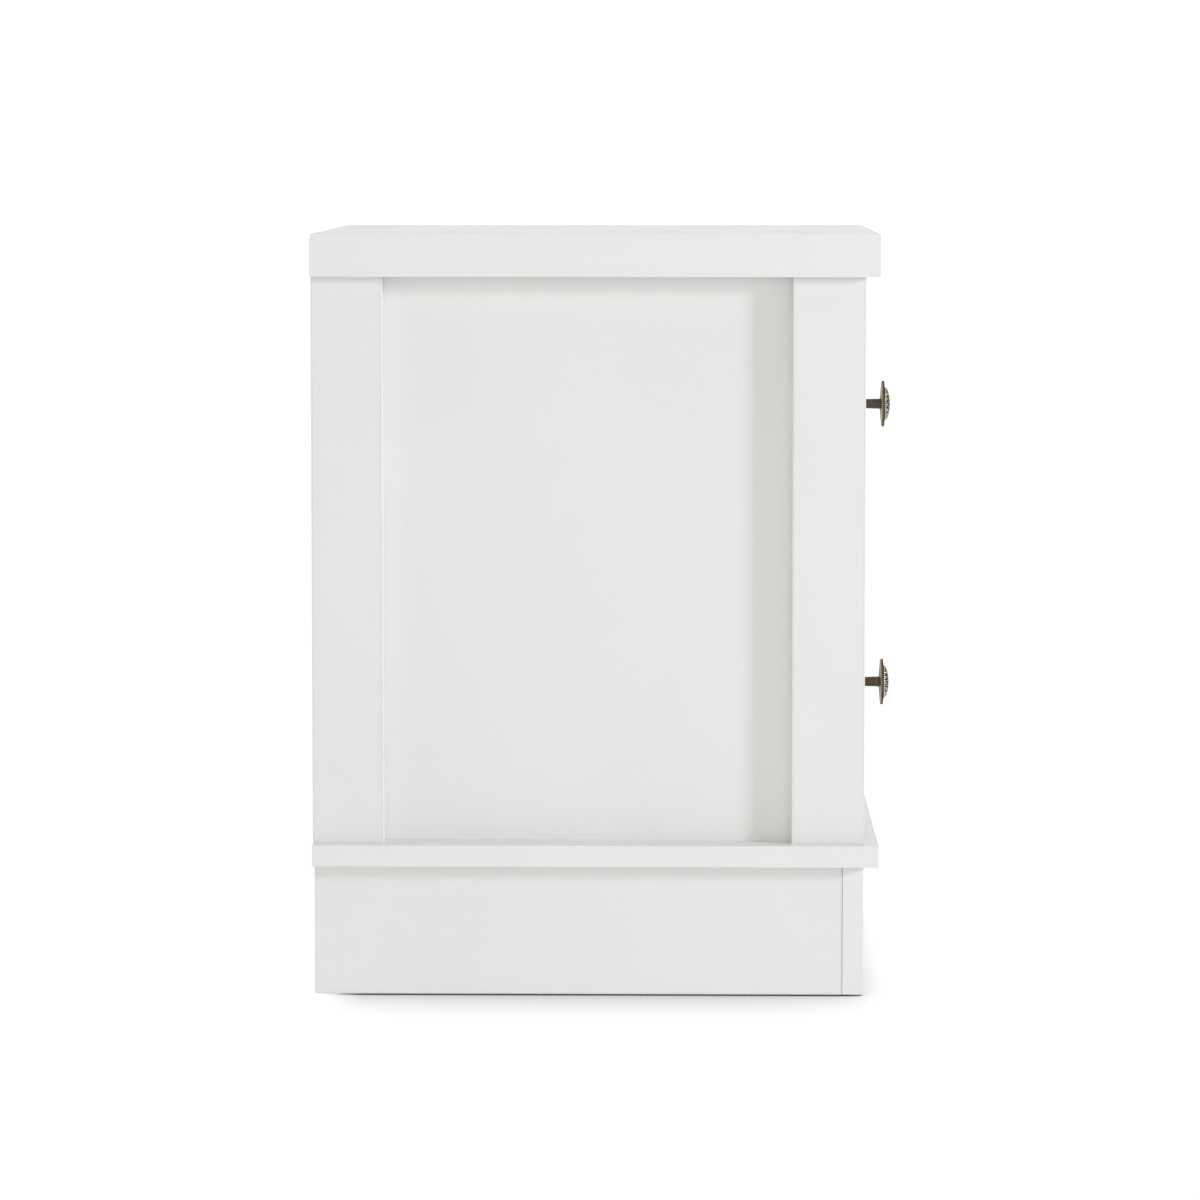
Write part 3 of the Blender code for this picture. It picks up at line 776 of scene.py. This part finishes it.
def make_knob(drawer, finishes):
    """A cast knob: a flared stem, a thin disc with a milled rim, and a dome of beads, leaves and petals."""
    node = f"{drawer}_knob"
    low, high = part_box(node)
    reach, rim = high.y - low.y, (high.x - low.x) / 2
    profile, back, front = stem_and_disc(reach, rim)
    dome = dome_profile(DOME_RADIUS - RELIEF, DOME_HEIGHT - RELIEF, DOME_RINGS)
    profile += [(radius, front + height) for radius, height, _, _ in dome]
    shape = spun(profile, KNOB_SEGMENTS)
    rubbed = shape.verts.layers.float.new("rubbed")
    for vertex in shape.verts:
        out = math.hypot(vertex.co.x, vertex.co.y)
        angle = math.atan2(vertex.co.y, vertex.co.x)
        if vertex.co.z > front - 1e-6:
            turn = math.atan2((vertex.co.z - front) / dome[-1][1], out / dome[0][0])
            radius, _, outward, way = dome[round(turn / (math.pi / 2) * DOME_RINGS)]
            relief = dome_relief(way * 1000, radius * 1000, angle)
            sideways = relief * RELIEF * outward.x
            vertex.co.x += sideways * math.cos(angle)
            vertex.co.y += sideways * math.sin(angle)
            vertex.co.z += relief * RELIEF * outward.y
            handled = 1 - CROWN_DULLING * min(1.0, way / DOME_RADIUS)
            vertex[rubbed] = min(1.0, GROUND_WEAR + RELIEF_WEAR * relief * handled)
        elif out > rim - MILLED:
            # Painted light and shade on the rim: its rear half lighter, as light caught off the drawer
            # front, its edge and front darker, as shade; the lobes are also worn.
            lobe = hump(from_nearest(RIM_LOBES, angle), math.pi / RIM_LOBES)
            vertex.co.xy *= 1 - MILLING_DEPTH * (1 - lobe) / rim
            rear = vertex.co.z < back + RIM_WIDTH * 0.45
            vertex[rubbed] = RIM_WEAR_AND_SHADE + (REAR_LOBE_WEAR_AND_LIGHT if rear else FRONT_LOBE_WEAR_AND_SHADE) * lobe
        else:
            vertex[rubbed] = plain_wear_and_light(out, vertex.co.z, back)
    place = Vector(((low.x + high.x) / 2, high.y, (low.z + high.z) / 2))
    shape.transform(Matrix.Translation(place) @ Matrix.Rotation(math.pi / 2, 4, "X"))
    brass = [finishes["antique_brass"]]
    knob = show(f"{node}_cast", shape, brass, BODY_OF[node], [node])
    smoothed(knob, 50)


# Screws, locks and nails


def cross_outline(reach, width):
    """The corners of a cross, anticlockwise."""
    quarter = [(reach, -width), (reach, width), (width, width)]
    corners = []
    for turn in range(4):
        c, s = round(math.cos(turn * math.pi / 2)), round(math.sin(turn * math.pi / 2))
        corners += [(c * x - s * y, s * x + c * y) for x, y in quarter]
    return corners


def verts_in(geometry):
    return [item for item in geometry if isinstance(item, bmesh.types.BMVert)]


def edges_between(geometry, verts):
    """The edges among what an operator made whose two ends are both in `verts`."""
    edges = (item for item in geometry if isinstance(item, bmesh.types.BMEdge))
    return [edge for edge in edges if all(vertex in verts for vertex in edge.verts)]


def recessed_head(profile, cross, depth, segments=HEAD_SEGMENTS):
    """A round head with a cross recess in its flat, where its profile of (radius, height) points starts."""
    shape = bmesh.new()
    rim, top = profile[0]
    circle = bmesh.ops.create_circle(shape, segments=segments, radius=rim)["verts"]
    bmesh.ops.translate(shape, verts=circle, vec=(0, 0, top))
    ring = list(shape.edges)
    corners = [shape.verts.new((x, y, top)) for x, y in cross_outline(*cross)]
    outline = [shape.edges.new(pair) for pair in zip(corners, corners[1:] + corners[:1])]
    bmesh.ops.triangle_fill(shape, edges=ring + outline, use_beauty=True)
    drop = bmesh.ops.extrude_edge_only(shape, edges=outline)["geom"]
    floor = verts_in(drop)
    for vertex in floor:
        vertex.co = Vector((vertex.co.x * CROSS_TAPER, vertex.co.y * CROSS_TAPER, top - depth))
    bmesh.ops.contextual_create(shape, geom=edges_between(drop, floor))
    for radius, height in profile[1:]:
        grown = bmesh.ops.extrude_edge_only(shape, edges=ring)["geom"]
        verts = verts_in(grown)
        for vertex in verts:
            flat = Vector((vertex.co.x, vertex.co.y)).normalized() * radius
            vertex.co = Vector((flat.x, flat.y, height))
        ring = edges_between(grown, verts)
    bmesh.ops.contextual_create(shape, geom=ring)
    bmesh.ops.recalc_face_normals(shape, faces=shape.faces)
    return shape


def pan_head(radius, height):
    """A pan-head screw's head, its underside at height 0."""
    flat = radius * PAN_FLAT
    profile = [(flat, height)]
    for step in range(1, PAN_STEPS + 1):
        turn = math.pi / 2 * step / PAN_STEPS
        drop = PAN_EDGE + (1 - PAN_EDGE) * math.cos(turn)
        profile.append((flat + (radius - flat) * math.sin(turn), height * drop))
    profile.append((radius, 0))
    cross = (radius * PAN_CROSS_REACH, radius * PAN_CROSS_WIDTH)
    return recessed_head(profile, cross, height * PAN_CROSS_DEPTH)


def joined(shapes):
    """Several shapes as one bmesh."""
    whole = bmesh.new()
    for shape in shapes:
        mesh = bpy.data.meshes.new("part")
        shape.to_mesh(mesh)
        shape.free()
        whole.from_mesh(mesh)
        bpy.data.meshes.remove(mesh)
    return whole


def placed(shape, direction, place):
    shape.transform(turned_to(direction, place))
    return shape


def show_screws(name, shapes, finishes, body):
    smoothed(show(name, joined(shapes), [finishes["zinc_plate"]], body))


def show_fastener(node, ending, shape, finishes):
    """Shows a zinc-plated piece in a CAD node's place."""
    name = f"{node}_{ending}"
    smoothed(show(name, shape, [finishes["zinc_plate"]], BODY_OF[node], [node]))


def make_runner_screws(finishes):
    """Pan-head screws through the cabinet runners, and up through the drawer runners' seats."""
    for drawer in DRAWERS:
        for side, sign in SIDES.items():
            low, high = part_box(f"{drawer}_{side}_cabinet_runner")
            web = (high.x if sign > 0 else low.x) - sign * SHEET
            height = (low.z + high.z) / 2 - WEB_SCREW_DROP
            screws = []
            for along in WEB_SCREWS:
                head = pan_head(RUNNER_SCREW_RADIUS, WEB_SCREW_HEIGHT)
                screws.append(placed(head, (-sign, 0, 0), (web, low.y + along, height)))
            show_screws(f"{drawer}_{side}_cabinet_runner_screws", screws, finishes, "cabinet")
            low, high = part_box(f"{drawer}_{side}_drawer_runner")
            seat = (low.x if sign > 0 else high.x) + sign * SEAT_SCREW_INSET
            screws = []
            for along in SEAT_SCREWS:
                head = pan_head(RUNNER_SCREW_RADIUS, SEAT_SCREW_HEIGHT)
                screws.append(placed(head, (0, 0, -1), (seat, low.y + along, low.z)))
            show_screws(f"{drawer}_{side}_drawer_runner_screws", screws, finishes, f"{drawer}_drawer")


def make_knob_screws(finishes):
    """The knob screws' pan heads and shanks."""
    for drawer in DRAWERS:
        node = f"{drawer}_knob_screw"
        low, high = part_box(node)
        x, _, z = (low + high) / 2
        neck = high.y - KNOB_SCREW_SHORTFALL
        head = placed(pan_head(KNOB_SCREW_HEAD, KNOB_SCREW_HEAD_HEIGHT), (0, 1, 0), (x, neck, z))
        length = neck - low.y
        profile = [(0, 0), (KNOB_SCREW_SHANK, 0), (KNOB_SCREW_SHANK, length), (0, length)]
        shank = placed(spun(profile, SHANK_SEGMENTS), (0, 1, 0), (x, low.y, z))
        show_fastener(node, "turned", joined([head, shank]), finishes)


def make_cam_locks(finishes):
    """Cam locks in the side panels, their driver recess towards the inside."""
    for side, sign in SIDES.items():
        for level in LEVELS:
            node = f"cam_lock_{side}_{level}"
            low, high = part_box(node)
            centre = (low + high) / 2
            radius, length = (high.z - low.z) / 2, high.x - low.x
            profile = [(radius - CAM_EDGE, length), (radius, length - CAM_EDGE), (radius, 0)]
            cross = (radius * CAM_CROSS_REACH, radius * CAM_CROSS_WIDTH)
            shape = recessed_head(profile, cross, CAM_CROSS_DEPTH, CAM_SEGMENTS)
            outer = high.x if sign > 0 else low.x
            shape = placed(shape, (-sign, 0, 0), (outer, centre.y, centre.z))
            show_fastener(node, "cast", shape, finishes)


def make_confirmats(finishes):
    """Confirmat screws: a cross-recessed head flush with the base's underside, a coarse thread above it."""
    for side in SIDES:
        for level in LEVELS:
            node = f"confirmat_{side}_{level}"
            low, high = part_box(node)
            centre = (low + high) / 2
            profile = list(CONFIRMAT_HEAD)
            for turn in range(CONFIRMAT_TURNS):
                start = CONFIRMAT_THREAD_START - turn * CONFIRMAT_PITCH
                profile += [(radius, start + height) for radius, height in CONFIRMAT_THREAD]
            profile.append((CONFIRMAT_TIP, low.z - high.z + CONFIRMAT_TIP / 2))
            shape = recessed_head(profile, CONFIRMAT_CROSS, CONFIRMAT_CROSS_DEPTH)
            shape = placed(shape, (0, 0, -1), (centre.x, centre.y, low.z))
            show_fastener(node, "cut", shape, finishes)


def make_back_nails(finishes):
    """Small round-headed pins that hold the back to the side panels' rear edges."""
    low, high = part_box("back_panel")
    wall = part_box("right_side_panel")
    across = (wall[0].x + wall[1].x) / 2
    nails = []
    for sign in SIDES.values():
        for row in range(NAIL_ROWS):
            rise = (high.z - low.z - 2 * NAIL_MARGIN) * row / (NAIL_ROWS - 1)
            place = (sign * across, high.y, low.z + NAIL_MARGIN + rise)
            nails.append(placed(spun(NAIL_HEAD, NAIL_SEGMENTS), (0, 1, 0), place))
    show_screws("back_nails", nails, finishes, "cabinet")


def make_drawer_fixings(finishes):
    """Confirmat heads in the drawer sides, and the cams that pull the sides up to the front."""
    for drawer in DRAWERS:
        heads = []
        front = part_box(f"{drawer}_drawer_front")[1].y
        for side, sign in SIDES.items():
            low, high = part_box(f"{drawer}_drawer_{side}_side")
            outside, inside = (high.x, low.x) if sign > 0 else (low.x, high.x)
            for share in SIDE_SCREW_SHARES:
                place = (outside, high.y - SIDE_SCREW_INSET, low.z + (high.z - low.z) * share)
                head = recessed_head(SIDE_SCREW_HEAD, CONFIRMAT_CROSS, SIDE_SCREW_CROSS_DEPTH)
                heads.append(placed(head, (sign, 0, 0), place))
            cam = recessed_head(DRAWER_CAM, DRAWER_CAM_CROSS, CONFIRMAT_CROSS_DEPTH, CAM_SEGMENTS)
            place = (inside, front + DRAWER_CAM_INSET, (low.z + high.z) / 2)
            heads.append(placed(cam, (-sign, 0, 0), place))
        show_screws(f"{drawer}_drawer_fixings", heads, finishes, f"{drawer}_drawer")


# ----------------------------------------------------------------------------------------------- studio


def make_camera():
    data = bpy.data.cameras.new("studio_camera")
    data.lens = CAMERA_LENS
    camera = bpy.data.objects.new("studio_camera", data)
    bpy.context.scene.collection.objects.link(camera)
    camera.location = CAMERA_PLACE
    camera.rotation_euler = (Vector(CAMERA_AIM) - camera.location).to_track_quat("-Z", "Y").to_euler()
    bpy.context.scene.camera = camera


def make_key_light():
    """A softbox low at the front left."""
    data = bpy.data.lights.new("key_softbox", "AREA")
    data.shape = "SQUARE"
    data.size = KEY_SIZE
    data.energy = KEY_POWER
    data.color = KEY_TINT
    lamp = bpy.data.objects.new("key_softbox", data)
    bpy.context.scene.collection.objects.link(lamp)
    lamp.location = KEY_AIM + KEY_DIRECTION * KEY_DISTANCE
    lamp.rotation_euler = (-KEY_DIRECTION).to_track_quat("-Z", "Y").to_euler()


def make_surroundings():
    """A white room with a broad soft panel square on to each side of the object, and one above it."""
    world = bpy.data.worlds.new("white_room")
    bpy.context.scene.world = world
    world.use_nodes = True
    s = Shading(world.node_tree)
    x, y, z = s.axes(s.node("ShaderNodeTexCoord", output="Generated"))
    lighting = ROOM_LIGHT + z.most(0.0).power(CEILING_FOCUS) * CEILING_LIGHT
    for axis, towards_low, towards_high in ((x, LEFT_PANEL, RIGHT_PANEL), (y, FRONT_PANEL, BACK_PANEL)):
        strength = towards_low + axis.math("GREATER_THAN", axis, 0.0) * (towards_high - towards_low)
        lighting = lighting + (axis * axis).power(PANEL_FOCUS / 2) * strength
    seen = s.node("ShaderNodeLightPath", output="Is Camera Ray")
    background = world.node_tree.nodes["Background"]
    background.inputs["Color"].default_value = (*ROOM_TINT, 1.0)
    world.node_tree.links.new(lighting.most(seen * OPEN_WHITE).socket, background.inputs["Strength"])


def make_floor():
    """A white seamless floor, open from beneath. The camera sees it as glowing white, with a painted
    contact shadow from ambient occlusion close to what stands on it, beside its left and right sides only;
    other rays meet white paper that glows a little, lighting the object from below.
    """
    shape = bmesh.new()
    bmesh.ops.create_grid(shape, x_segments=1, y_segments=1, size=FLOOR_REACH)
    bmesh.ops.translate(shape, verts=shape.verts, vec=(0, 0, -FLOOR_CLEARANCE))
    mesh = bpy.data.meshes.new("studio_floor")
    shape.to_mesh(mesh)
    shape.free()
    floor = bpy.data.objects.new("studio_floor", mesh)
    bpy.context.scene.collection.objects.link(floor)
    material = bpy.data.materials.new("studio_floor")
    material.use_nodes = True
    s = Shading(material.node_tree)
    paper = s.node("ShaderNodeBsdfDiffuse", {}, {"Color": (*FLOOR_WHITE, 1.0)})
    openness = s.node("ShaderNodeAmbientOcclusion", {"samples": 16}, {"Distance": CONTACT_REACH}, "AO")
    y = s.axes(s.place())[1]
    painted_shadow_mask = 1 - y.math("ABSOLUTE", y).above(*PAINTED_SHADOW_ENDS)
    # Painted contact shadow: for the camera the floor is emission, darkened by ambient occlusion near the
    # object
    floor_with_painted_shadow = s.ramp(
        1 - (1 - openness) * painted_shadow_mask,
        (0.0, (0.015, 0.015, 0.015)),
        (0.30, (0.30, 0.30, 0.30)),
        (0.50, (0.74, 0.74, 0.74)),
        (0.75, (0.93, 0.93, 0.93)),
        (0.97, (OPEN_WHITE, OPEN_WHITE, OPEN_WHITE)),
    )
    painted_floor = s.node("ShaderNodeEmission", {}, {"Color": floor_with_painted_shadow})
    # the paper glows a little for other rays, a fill light from below
    paper_glow = s.node("ShaderNodeEmission", {}, {"Strength": FLOOR_GLOW})
    paper = s.node("ShaderNodeAddShader", {}, {0: paper, 1: paper_glow})
    seen = s.node("ShaderNodeLightPath", output="Is Camera Ray")
    from_above = s.node("ShaderNodeMixShader", {}, {0: seen, 1: paper, 2: painted_floor})
    beneath = s.node("ShaderNodeNewGeometry", output="Backfacing")
    open_below = s.node("ShaderNodeBsdfTransparent")
    surface = s.node("ShaderNodeMixShader", {}, {0: beneath, 1: from_above, 2: open_below})
    output = material.node_tree.nodes["Material Output"]
    material.node_tree.links.new(surface.socket, output.inputs["Surface"])
    mesh.materials.append(material)


bpy.context.scene.view_settings.view_transform = "Standard"
make_camera()
make_key_light()
make_surroundings()
make_floor()
finishes = make_finishes()
make_boards(finishes)
make_plain_pieces(finishes)
make_rollers(finishes)
for drawer in DRAWERS:
    make_knob(drawer, finishes)
make_runner_screws(finishes)
make_knob_screws(finishes)
make_cam_locks(finishes)
make_confirmats(finishes)
make_back_nails(finishes)
make_drawer_fixings(finishes)
